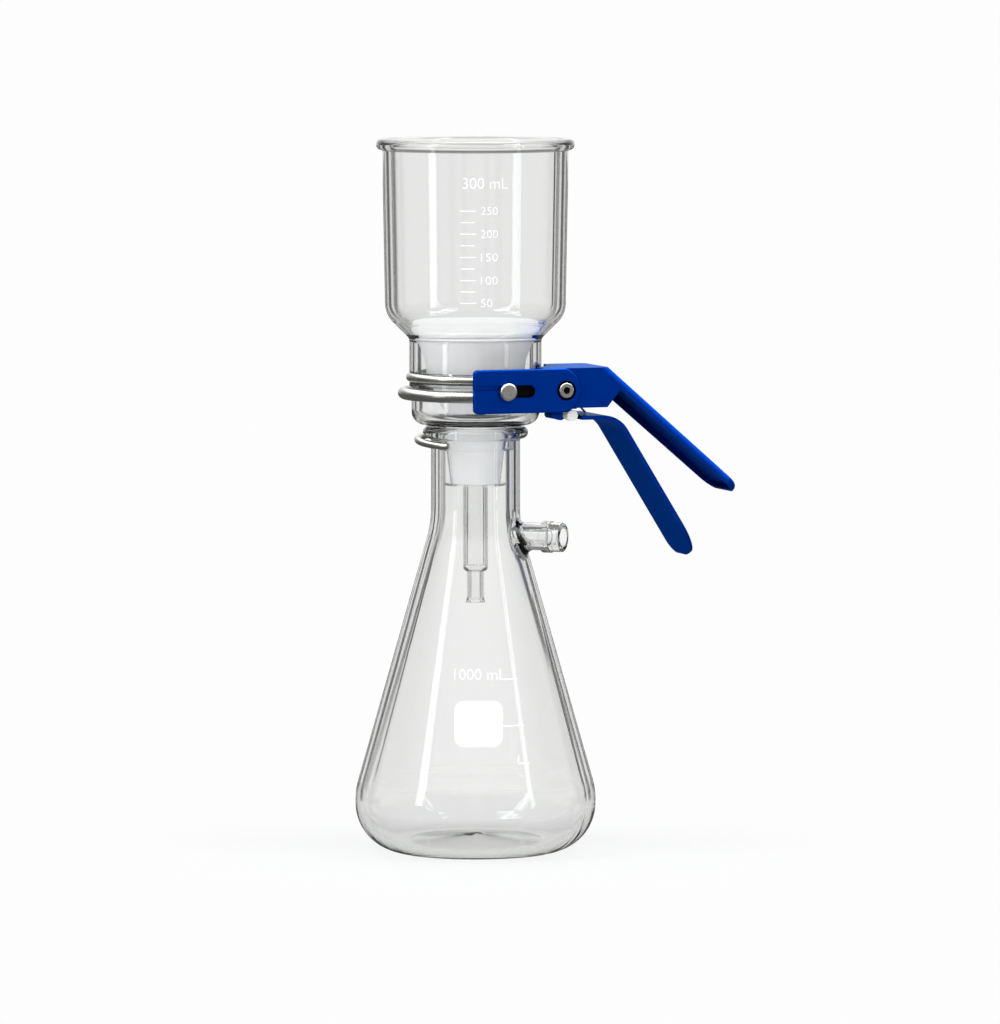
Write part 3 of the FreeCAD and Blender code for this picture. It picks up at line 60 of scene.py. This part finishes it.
# ------------------------------------------------------------------------------------------
# Node helpers
# ------------------------------------------------------------------------------------------
class Shader:
    """A small wrapper for building a node tree line by line."""

    def __init__(self, name):
        self.material = bpy.data.materials.new(name)
        self.material.use_nodes = True
        self.start(self.material.node_tree, "ShaderNodeOutputMaterial")

    @classmethod
    def on(cls, tree, output):
        """The same helper on another node tree."""
        made = cls.__new__(cls)
        made.start(tree, output)
        return made

    def start(self, tree, output):
        self.tree = tree
        self.tree.nodes.clear()
        self.out = self.tree.nodes.new(output)

    def node(self, kind, **values):
        made = self.tree.nodes.new(kind)
        for key, value in values.items():
            if hasattr(made, key):
                setattr(made, key, value)
            else:
                made.inputs[key.replace("_", " ")].default_value = value
        return made

    def link(self, source, target):
        self.tree.links.new(source, target)

    def object_coords(self, scale=(1, 1, 1)):
        coords = self.node("ShaderNodeTexCoord")
        mapping = self.node("ShaderNodeMapping")
        mapping.inputs["Scale"].default_value = scale
        self.link(coords.outputs["Object"], mapping.inputs["Vector"])
        return mapping.outputs["Vector"]

    def noise(self, scale, detail=3.0, roughness=0.5, stretch=(1, 1, 1)):
        made = self.node("ShaderNodeTexNoise")
        made.inputs["Scale"].default_value = scale
        made.inputs["Detail"].default_value = detail
        made.inputs["Roughness"].default_value = roughness
        self.link(self.object_coords(stretch), made.inputs["Vector"])
        return made.outputs["Fac"]

    def ramp(self, source, low, high, start=0.3, end=0.7):
        made = self.node("ShaderNodeMapRange")
        made.inputs["From Min"].default_value = start
        made.inputs["From Max"].default_value = end
        made.inputs["To Min"].default_value = low
        made.inputs["To Max"].default_value = high
        self.link(source, made.inputs["Value"])
        return made.outputs["Result"]

    def mix(self, factor, first, second):
        """Two colours by a factor, each a plain colour or another node's output."""
        made = self.node("ShaderNodeMix", data_type="RGBA")
        for place, colour in ((FIRST_COLOUR, first), (SECOND_COLOUR, second)):
            if isinstance(colour, bpy.types.NodeSocket):
                self.link(colour, made.inputs[place])
            else:
                made.inputs[place].default_value = (*colour, 1)
        self.link(factor, made.inputs["Factor"])
        return made.outputs[MIXED_COLOUR]

    def blend(self, factor, first, second):
        """Two shaders by a factor."""
        made = self.node("ShaderNodeMixShader")
        for place, source in enumerate((factor, first, second)):
            self.link(source, made.inputs[place])
        return made.outputs[0]

    def product(self, first, second):
        made = self.node("ShaderNodeMath", operation="MULTIPLY")
        self.link(first, made.inputs[0])
        self.link(second, made.inputs[1])
        return made.outputs[0]

    def mirrored_outside_glass(self, path):
        """1 for a mirrored ray that hasn't passed into glass, otherwise 0."""
        outside = self.ramp(path.outputs["Transmission Depth"], 1.0, 0.0, 0.0, 1.0)
        return self.product(path.outputs["Is Glossy Ray"], outside)

    def darkened_near_pivot(self, colour, radius, dark):
        """The colour, but with painted shade within a radius of the pivot's axis, where no light gets in.
        """
        coords = self.node("ShaderNodeTexCoord")
        across = self.node("ShaderNodeVectorMath", operation="MULTIPLY")
        across.inputs[1].default_value = (1, 0, 1)
        self.link(coords.outputs["Object"], across.inputs[0])
        gap = self.node("ShaderNodeVectorMath", operation="DISTANCE")
        gap.inputs[1].default_value = (PIVOT.x, 0, PIVOT.z)
        self.link(across.outputs[0], gap.inputs[0])
        near = self.ramp(gap.outputs["Value"], 1.0, 0.0, radius * 0.94, radius * 1.04)
        return self.mix(near, colour, dark)

    def bump(self, height, strength, distance):
        made = self.node("ShaderNodeBump")
        made.inputs["Strength"].default_value = strength
        made.inputs["Distance"].default_value = distance
        self.link(height, made.inputs["Height"])
        return made.outputs["Normal"]


def set_stops(ramp, stops):
    """Grey levels of a colour ramp as (place, level) pairs in rising order."""
    band = ramp.color_ramp
    while len(band.elements) < len(stops):
        band.elements.new(1.0)
    for element, (place, level) in zip(band.elements, stops):
        element.position = place
        element.color = (level, level, level, 1)


def srgb(red, green, blue):
    """Linear colour from 0..255 display values."""
    def lin(v):
        v /= 255
        return v / 12.92 if v <= 0.04045 else ((v + 0.055) / 1.055) ** 2.4
    return (lin(red), lin(green), lin(blue))


def clear_glass(name, tint, density, bend=1.474, haze=0.012, ripple=0.06):
    """Solid glass that bends what is behind it, and lets the lamps reach what it holds."""
    s = Shader(name)
    body = s.node("ShaderNodeBsdfPrincipled")
    body.inputs["Transmission Weight"].default_value = 1.0
    body.inputs["IOR"].default_value = bend
    body.inputs["Base Color"].default_value = (1, 1, 1, 1)
    s.link(s.ramp(s.noise(60, 2), 0.0, haze), body.inputs["Roughness"])
    s.link(s.bump(s.noise(18, 1.5, 0.4, (1, 1, 0.35)), ripple, 0.0006), body.inputs["Normal"])
    through = s.node("ShaderNodeBsdfTransparent")
    path = s.node("ShaderNodeLightPath")
    surface = body.outputs["BSDF"]
    for ray in ("Is Shadow Ray", "Is Diffuse Ray"):
        surface = s.blend(path.outputs[ray], surface, through.outputs["BSDF"])
    s.link(surface, s.out.inputs["Surface"])
    absorb = s.node("ShaderNodeVolumeAbsorption")
    absorb.inputs["Color"].default_value = (*tint, 1)
    absorb.inputs["Density"].default_value = density
    s.link(absorb.outputs["Volume"], s.out.inputs["Volume"])
    return s.material


def satin_plastic(name, base, low, high, scale, translucent=0.0):
    s = Shader(name)
    body = s.node("ShaderNodeBsdfPrincipled")
    s.link(s.mix(s.noise(scale, 4), base[0], base[1]), body.inputs["Base Color"])
    s.link(s.ramp(s.noise(scale * 3, 3), low, high), body.inputs["Roughness"])
    s.link(s.bump(s.noise(scale * 6, 3), 0.12, 0.0002), body.inputs["Normal"])
    if translucent:
        body.inputs["Subsurface Weight"].default_value = translucent
        body.inputs["Subsurface Radius"].default_value = (1.0, 0.95, 0.9)
        body.inputs["Subsurface Scale"].default_value = 0.006
    s.link(body.outputs["BSDF"], s.out.inputs["Surface"])
    return s.material


def brushed_metal(name, dark, light, low, high, stretch, scale=900, socket_shade_radius=0.0):
    s = Shader(name)
    body = s.node("ShaderNodeBsdfPrincipled")
    body.inputs["Metallic"].default_value = 1.0
    colour = s.mix(s.noise(scale, 2, 0.6, stretch), dark, light)
    # Painted shade in the hex socket: the head's middle round the pivot's axis is coloured dark.
    if socket_shade_radius:
        colour = s.darkened_near_pivot(colour, socket_shade_radius, srgb(26, 26, 28))
    s.link(colour, body.inputs["Base Color"])
    s.link(s.ramp(s.noise(scale * 0.6, 3, 0.6, stretch), low, high), body.inputs["Roughness"])
    s.link(s.bump(s.noise(scale, 2, 0.6, stretch), 0.06, 0.00002), body.inputs["Normal"])
    s.link(body.outputs["BSDF"], s.out.inputs["Surface"])
    return s.material


def anodised(name):
    s = Shader(name)
    body = s.node("ShaderNodeBsdfPrincipled")
    body.inputs["Metallic"].default_value = 0.75
    body.inputs["Specular IOR Level"].default_value = 0.0
    body.inputs["Specular Tint"].default_value = (*srgb(160, 205, 232), 1)
    colour = s.mix(s.noise(45, 3), srgb(0, 55, 160), srgb(0, 61, 172))
    # Painted shade in the counterbore round the pivot screw's head: the blue there is coloured dark.
    colour = s.darkened_near_pivot(colour, COUNTERBORE_SHADE_RADIUS, srgb(0, 4, 20))
    # Painted shade: the blue is coloured darker where its own sheet hems it in, in channels, crevices and
    # under edges.
    occlusion = s.node("ShaderNodeAmbientOcclusion", samples=8)
    occlusion.inputs["Distance"].default_value = SELF_SHADE_REACH
    shade = s.ramp(occlusion.outputs["AO"], 1.0, 0.0, 0.30, 0.75)
    s.link(s.mix(shade, colour, srgb(0, 8, 34)), body.inputs["Base Color"])
    s.link(s.ramp(s.noise(500, 3), 0.28, 0.36), body.inputs["Roughness"])
    s.link(s.bump(s.noise(1500, 2), 0.10, 0.00004), body.inputs["Normal"])
    s.link(body.outputs["BSDF"], s.out.inputs["Surface"])
    return s.material


MATERIALS = {
    "clear_glass": clear_glass("clear_glass", (0.785, 0.793, 0.779), 100.0),
    "stopper_rubber": clear_glass("stopper_rubber", (0.93, 0.94, 0.935), 35.0, 1.40, 0.05),
    "white_plastic": satin_plastic("white_plastic", (srgb(244, 244, 246), srgb(249, 249, 250)),
                                   0.40, 0.50, 90, 0.2),
    "disc_white": satin_plastic("disc_white", (srgb(248, 248, 248), srgb(252, 252, 251)),
                                0.55, 0.65, 300),
    "steel_wire": brushed_metal("steel_wire", srgb(158, 157, 153), srgb(190, 189, 184),
                                0.24, 0.36, (1, 1, 6), 700),
    "bright_steel": brushed_metal("bright_steel", srgb(212, 208, 202), srgb(230, 227, 220),
                                  0.24, 0.32, (1, 1, 1), 220, SOCKET_SHADE_RADIUS),
    "dark_steel": brushed_metal("dark_steel", srgb(16, 16, 18), srgb(30, 30, 32),
                                0.30, 0.42, (1, 1, 1), 900),
    "spring_steel": brushed_metal("spring_steel", srgb(120, 120, 122), srgb(150, 150, 152),
                                  0.25, 0.35, (1, 1, 1), 900),
    "pin_nylon": satin_plastic("pin_nylon", (srgb(226, 224, 220), srgb(236, 234, 230)),
                               0.38, 0.46, 120, 0.1),
    "blue_aluminium": anodised("blue_aluminium"),
}
for entry in frame["record"]["subparts"]:
    target = nodes[entry["node"]]
    target.data.materials.clear()
    target.data.materials.append(MATERIALS[entry["material_slot"]])


# ------------------------------------------------------------------------------------------
# White enamel print on the glass
# ------------------------------------------------------------------------------------------
TOWARD_VIEWER = Vector((-0.342, -0.940, 0.0)).normalized()
TO_THE_RIGHT = Vector((0.940, -0.342, 0.0)).normalized()
PRINT_SINK = 0.03
PRINT_STAND = 0.09
PRINT_STEP = 1.2
STROKE = 0.55
LETTER_THINNING = 0.012
CORNER_STEPS = 8
# How far in front of the axis the print is thrown onto the glass from, in metres
PRINT_THROW = 0.3
SCALE_RADIUS = 51.0
FLASK_PRINT_RADIUS = 52.0
SCALE_START = -8.3
SCALE_LABELS = ((361.5, 250), (348.75, 200), (335.85, 150), (323.05, 100), (310.5, 50))
FLASK_LEVELS = ((101.3, 14.8, 24.4), (76.0, 15.0, 28.6), (55.6, 24.9, 32.2))


def as_triangles(mesh, width, height):
    """The mesh cut into pieces small enough to bend round the glass."""
    work = bmesh.new()
    work.from_mesh(mesh)
    bmesh.ops.remove_doubles(work, verts=work.verts, dist=1e-4)
    for axis, (low, high) in ((0, width), (1, height)):
        for number in range(1, int((high - low) / PRINT_STEP) + 1):
            place, normal = Vector((0, 0, 0)), Vector((0, 0, 0))
            place[axis] = low + number * PRINT_STEP
            normal[axis] = 1.0
            bmesh.ops.bisect_plane(work, geom=work.verts[:] + work.edges[:] + work.faces[:],
                                   plane_co=place, plane_no=normal, dist=1e-5)
    bmesh.ops.triangulate(work, faces=work.faces[:])
    bmesh.ops.recalc_face_normals(work, faces=work.faces[:])
    return work


def letters(text, left, right, base, height):
    """Upright characters as a thin flat solid that fills the box given in millimetres."""
    curve = bpy.data.curves.new("letters", "FONT")
    curve.body = text
    curve.resolution_u = 5
    curve.extrude = 0.5
    curve.offset = -LETTER_THINNING
    holder = bpy.data.objects.new("letters", curve)
    mesh = bpy.data.meshes.new_from_object(holder)
    points = np.array([vertex.co[:] for vertex in mesh.vertices])
    low, high = points.min(axis=0), points.max(axis=0)
    wanted_low = np.array((left, base, 0.0))
    wanted = np.array((right - left, height, 1.0))
    for vertex in mesh.vertices:
        vertex.co = wanted_low + (np.array(vertex.co[:]) - low) / (high - low) * wanted
    bpy.data.objects.remove(holder)
    return as_triangles(mesh, (left, right), (base, base + height))


def rounded_bar(left, right, low, high, radius):
    """A flat rectangle with rounded corners as a thin solid."""
    outline = []
    for x, y, turn in ((right - radius, high - radius, 0), (left + radius, high - radius, 90),
                       (left + radius, low + radius, 180), (right - radius, low + radius, 270)):
        for step in range(CORNER_STEPS + 1):
            angle = math.radians(turn + step * 90 / CORNER_STEPS)
            outline.append((x + radius * math.cos(angle), y + radius * math.sin(angle)))
    count = len(outline)
    points = [(x, y, z) for z in (0.0, 1.0) for x, y in outline]
    faces = [tuple(range(count))[::-1], tuple(range(count, 2 * count))]
    faces += [(i, (i + 1) % count, count + (i + 1) % count, count + i) for i in range(count)]
    mesh = bpy.data.meshes.new("bar")
    mesh.from_pydata(points, [], faces)
    return as_triangles(mesh, (left, right), (low, high))


def print_on(node, name, radius, flats):
    """Thin flat solids laid on a glass node, each x taken round the glass from its front line."""
    skin = BVHTree.FromPolygons([vertex.co[:] for vertex in nodes[node].data.vertices],
                                [face.vertices[:] for face in nodes[node].data.polygons])
    points, faces = [], []
    for flat in flats:
        flat.verts.index_update()
        start = len(points)
        for vertex in flat.verts:
            across = radius * math.sin(vertex.co.x / radius)
            origin = (TOWARD_VIEWER * PRINT_THROW + TO_THE_RIGHT * across * MM
                      + Vector((0, 0, vertex.co.y * MM)))
            place, normal = skin.ray_cast(origin, -TOWARD_VIEWER)[:2]
            lift = -PRINT_SINK if vertex.co.z < 0.5 else PRINT_STAND
            points.append(place + normal * lift * MM)
        faces += [[start + vertex.index for vertex in face.verts] for face in flat.faces]
        flat.free()
    mesh = bpy.data.meshes.new(name)
    mesh.from_pydata(points, [], faces)
    mesh.materials.append(MATERIALS["disc_white"])
    piece = bpy.data.objects.new(name, mesh)
    scene.collection.objects.link(piece)
    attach(piece, "unit")


def build_print():
    scale = [letters("300 mL", -6.9, 18.3, 373.7, 6.1)]
    for number, (height, volume) in enumerate(SCALE_LABELS):
        scale.append(rounded_bar(SCALE_START, 0.6, height - STROKE / 2, height + STROKE / 2, 0.2))
        scale.append(letters(str(volume), 3.2, 3.2 + 3.15 * len(str(volume)), height - 2.15, 4.3))
        if number:
            middle = (height + SCALE_LABELS[number - 1][0]) / 2
            scale.append(rounded_bar(SCALE_START + 0.3, -0.2, middle - STROKE / 2,
                                     middle + STROKE / 2, 0.2))
    print_on("funnel", "funnel_scale", SCALE_RADIUS, scale)
    flask = [letters("1000 mL", -11.8, 16.9, 101.2, 5.8),
             rounded_bar(-11.6, 15.4, 65.0, 89.7, 5.3)]
    for height, left, right in FLASK_LEVELS:
        flask.append(rounded_bar(left, right, height - STROKE / 2, height + STROKE / 2, 0.2))
    left, height = FLASK_LEVELS[-1][1], FLASK_LEVELS[-1][0]
    flask.append(rounded_bar(left - STROKE / 2, left + STROKE / 2, height, height + 4.6, 0.2))
    print_on("flask", "flask_print", FLASK_PRINT_RADIUS, flask)


# The slot's painted-shade sheet, a black strip that stands in for shade: its reach past the stud's head,
# its size and its place, in millimetres
SHADE_SHEET_LEFT, SHADE_SHEET_RIGHT = 2.0, 14.0
SHADE_SHEET_HALF_HEIGHT = 6.2
SHADE_SHEET_CORNER = 2.0
SHADE_SHEET_GAP = 0.04
SHADE_SHEET_THICKNESS = 0.12


def build_slot_liner():
    """Painted shade: a thin black strip behind the plate's slot, clear of the stud's travel, that darkens
    the slot's inside.
    """
    plate_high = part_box("jaw_plate")[1]
    stud_low, stud_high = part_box("lock_stud")
    middle = (stud_low[2] + stud_high[2]) / 2 / MM
    flat = rounded_bar(stud_low[0] / MM - SHADE_SHEET_LEFT, stud_high[0] / MM + SHADE_SHEET_RIGHT,
                       middle - SHADE_SHEET_HALF_HEIGHT, middle + SHADE_SHEET_HALF_HEIGHT, SHADE_SHEET_CORNER)
    for vertex in flat.verts:
        across, height, depth = vertex.co
        vertex.co = (across * MM, plate_high[1] + (SHADE_SHEET_GAP + SHADE_SHEET_THICKNESS * depth) * MM, height * MM)
    bmesh.ops.recalc_face_normals(flat, faces=flat.faces[:])
    mesh = bpy.data.meshes.new("slot_shade_sheet")
    flat.to_mesh(mesh)
    flat.free()
    mesh.materials.append(MATERIALS["dark_steel"])
    piece = bpy.data.objects.new("slot_shade_sheet", mesh)
    scene.collection.objects.link(piece)
    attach(piece, "unit")


build_print()
build_slot_liner()

# ------------------------------------------------------------------------------------------
# Stage, light and camera
# ------------------------------------------------------------------------------------------
BACKDROP_WHITE = 0.985
WORLD_LIGHT = 0.80
DAYLIGHT = (0.95, 0.975, 1.0)
MIRRORED_CEILING = 4.0
BENT_CEILING = 0.25
FLOOR_RADIUS = 9.0
FLOOR_NEAR_WHITE = 0.70
FLOOR_MIRRORED = 0.14
# Distances from the axis over which the floor turns white, and opens to what glass bends
WHITE_SPAN = (0.08, 0.22)
OPEN_SPAN = (0.25, 0.45)
LOW_WALL = 0.55
# Slopes of the view over which the rooms' walls turn into ceiling, or into the low wall
MIRRORED_RISE = (0.30, 0.60)
BENT_RISE = (0.14, 0.30)
LOW_WALL_SPAN = (-0.42, -0.22)
FRONT_LEVEL = 0.78
FRONT_SHARE = 0.40
# Each window: name, turn from the viewer's side (degrees), distance, height, size and power.
WINDOWS = (("window_left", -56, 2.2, 1.0, (0.28, 2.0), 9),
           ("window_right", 57, 2.2, 0.9, (0.12, 2.0), 3.6))
LIT_POINT = Vector((0, 0, 0.25))
# Each overhead: name and place to the right of the object
OVERHEADS = (("overhead_left", -0.95), ("overhead_right", 0.95))
OVERHEAD_FORWARD = 0.4
OVERHEAD_HEIGHT = 2.2
OVERHEAD_SIZE = (0.36, 0.7)
OVERHEAD_POWER = 12
OVERHEAD_LIT_POINT = (0, 0, 0.1)
FILL_DISTANCE = 3.0
FILL_HEIGHT = 0.9
FILL_SIZE = (2, 2)
FILL_POWER = 16
# The photograph's camera: angles, distance, and the point it looks at in millimetres
CAMERA_AZIMUTH = -20.0
CAMERA_ELEVATION = 4.73
CAMERA_DISTANCE = 4.318
CAMERA_TARGET = (12.9, -4.7, 190.7)
CAMERA_SENSOR = 36.0
CAMERA_REACH = 50
IMAGE_HEIGHT = 1024
PIXEL_SIZE = 0.56
# Grey of the wall that mirrors show, from straight behind the object (0) to the viewer (1).
MIRRORED_STOPS = ((0.0, 0.985), (0.03, 0.985), (0.10, 0.35), (0.30, 0.20), (0.62, 0.20),
                  (0.85, 0.34), (1.0, 0.30))
# Grey that clear glass shows, from square across the view (0) to along it (1).
BENT_STOPS = ((0.0, 0.985), (0.45, 0.985), (0.50, 0.08), (0.62, 0.08), (0.67, 0.985),
              (0.79, 0.985), (0.82, 0.08), (0.885, 0.08), (0.90, 0.985), (0.948, 0.985),
              (0.955, 0.08), (0.976, 0.08), (0.981, 0.985), (1.0, 0.985))


def build_stage():
    """A pale floor: white to the camera but for the object's soft shadow close by."""
    bpy.ops.mesh.primitive_circle_add(vertices=96, radius=FLOOR_RADIUS, fill_type="NGON",
                                      location=(0, 0, 0))
    floor = bpy.context.object
    floor.name = "floor"
    s = Shader("floor_paint")
    path = s.node("ShaderNodeLightPath")
    paint = s.mix(s.noise(3, 2), srgb(229, 229, 229), srgb(232, 232, 232))
    body = s.node("ShaderNodeBsdfDiffuse")
    s.link(s.mix(s.mirrored_outside_glass(path), paint, (FLOOR_MIRRORED,) * 3),
           body.inputs["Color"])
    coords = s.node("ShaderNodeTexCoord")
    reach = s.node("ShaderNodeVectorMath", operation="LENGTH")
    s.link(coords.outputs["Object"], reach.inputs[0])
    white = s.node("ShaderNodeEmission", Strength=BACKDROP_WHITE)
    white.inputs["Color"].default_value = (1, 1, 1, 1)
    through = s.node("ShaderNodeBsdfTransparent")
    bent = path.outputs["Is Transmission Ray"]
    any_eye = s.node("ShaderNodeMath", operation="MAXIMUM")
    s.link(path.outputs["Is Camera Ray"], any_eye.inputs[0])
    s.link(bent, any_eye.inputs[1])
    surface = body.outputs["BSDF"]
    for near, span, eye, shown in ((FLOOR_NEAR_WHITE, WHITE_SPAN, any_eye.outputs[0], white),
                                   (0.0, OPEN_SPAN, bent, through)):
        share = s.ramp(reach.outputs["Value"], near, 1.0, *span)
        surface = s.blend(s.product(share, eye), surface, shown.outputs[0])
    s.link(surface, s.out.inputs["Surface"])
    floor.data.materials.append(s.material)


def build_world():
    """Even light for the object, and a studio for polished and clear surfaces to show."""
    world = bpy.data.worlds.new("studio")
    world.use_nodes = True
    s = Shader.on(world.node_tree, "ShaderNodeOutputWorld")
    light, seen, mirrored, bent = [s.node("ShaderNodeBackground", Strength=strength)
                                   for strength in (WORLD_LIGHT, BACKDROP_WHITE, 1.0, 1.0)]
    for plain in (light, seen):
        plain.inputs["Color"].default_value = (1, 1, 1, 1)
    coords = s.node("ShaderNodeTexCoord")
    split = s.node("ShaderNodeSeparateXYZ")
    s.link(coords.outputs["Generated"], split.inputs[0])
    flat = s.node("ShaderNodeCombineXYZ")
    s.link(split.outputs["X"], flat.inputs["X"])
    s.link(split.outputs["Y"], flat.inputs["Y"])
    heading = s.node("ShaderNodeVectorMath", operation="NORMALIZE")
    s.link(flat.outputs[0], heading.inputs[0])
    along = s.node("ShaderNodeVectorMath", operation="DOT_PRODUCT")
    along.inputs[1].default_value = TOWARD_VIEWER
    s.link(heading.outputs[0], along.inputs[0])
    bent_stops = [((1 - turn) / 2, grey) for turn, grey in reversed(BENT_STOPS)]
    bent_stops += [((1 + turn) / 2, FRONT_LEVEL - FRONT_SHARE * (BACKDROP_WHITE - grey))
                   for turn, grey in BENT_STOPS[1:]]
    place = s.ramp(along.outputs["Value"], 0.0, 1.0, -1.0, 1.0)
    for background, stops, ceiling, rise in (
            (mirrored, MIRRORED_STOPS, MIRRORED_CEILING, MIRRORED_RISE),
            (bent, bent_stops, BENT_CEILING, BENT_RISE)):
        wall = s.node("ShaderNodeValToRGB")
        s.link(place, wall.inputs["Fac"])
        set_stops(wall, stops)
        above = s.ramp(split.outputs["Z"], 0.0, 1.0, *rise)
        below = s.ramp(split.outputs["Z"], 1.0, 0.0, *LOW_WALL_SPAN)
        colour = s.mix(above, wall.outputs["Color"], (ceiling,) * 3)
        s.link(s.mix(below, colour, (LOW_WALL,) * 3), background.inputs["Color"])
    path = s.node("ShaderNodeLightPath")
    surface = light.outputs[0]
    for ray, shown in ((path.outputs["Is Transmission Ray"], bent),
                       (path.outputs["Is Glossy Ray"], bent),
                       (s.mirrored_outside_glass(path), mirrored),
                       (path.outputs["Is Camera Ray"], seen)):
        surface = s.blend(ray, surface, shown.outputs[0])
    s.link(surface, s.out.inputs[0])
    scene.world = world


def area_light(name, location, target, size, power):
    data = bpy.data.lights.new(name, "AREA")
    data.shape = "RECTANGLE"
    data.size, data.size_y = size
    data.energy = power
    data.color = DAYLIGHT
    lamp = bpy.data.objects.new(name, data)
    lamp.location = location
    lamp.rotation_euler = (Vector(target) - Vector(location)).to_track_quat("-Z", "Y").to_euler()
    scene.collection.objects.link(lamp)
    return lamp


def build_lights():
    for name, turn, distance, height, size, power in WINDOWS:
        angle = math.atan2(TOWARD_VIEWER[1], TOWARD_VIEWER[0]) + math.radians(turn)
        place = (distance * math.cos(angle), distance * math.sin(angle), height)
        area_light(name, place, LIT_POINT, size, power)
    for name, along in OVERHEADS:
        place = (TO_THE_RIGHT * along + TOWARD_VIEWER * OVERHEAD_FORWARD
                 + Vector((0, 0, OVERHEAD_HEIGHT)))
        area_light(name, place, OVERHEAD_LIT_POINT, OVERHEAD_SIZE, OVERHEAD_POWER)
    place = TOWARD_VIEWER * FILL_DISTANCE + Vector((0, 0, FILL_HEIGHT))
    fill = area_light("front_fill", place, LIT_POINT, FILL_SIZE, FILL_POWER)
    fill.visible_glossy = fill.visible_transmission = False


def build_camera():
    azimuth = math.radians(CAMERA_AZIMUTH)
    elevation = math.radians(CAMERA_ELEVATION)
    target = Vector(CAMERA_TARGET) * MM
    back = Vector((math.sin(azimuth) * math.cos(elevation),
                   -math.cos(azimuth) * math.cos(elevation), math.sin(elevation)))
    data = bpy.data.cameras.new("camera")
    data.sensor_width = CAMERA_SENSOR
    data.lens = CAMERA_SENSOR * CAMERA_DISTANCE / (IMAGE_HEIGHT * PIXEL_SIZE * MM)
    data.clip_end = CAMERA_REACH
    camera = bpy.data.objects.new("camera", data)
    camera.location = target + back * CAMERA_DISTANCE
    camera.rotation_euler = (-back).to_track_quat("-Z", "Y").to_euler()
    scene.collection.objects.link(camera)
    scene.camera = camera


build_stage()
build_world()
build_lights()
build_camera()

scene.view_settings.view_transform = "Standard"
scene.cycles.max_bounces = 24
scene.cycles.transmission_bounces = 24
scene.cycles.transparent_max_bounces = 24
scene.cycles.glossy_bounces = 8
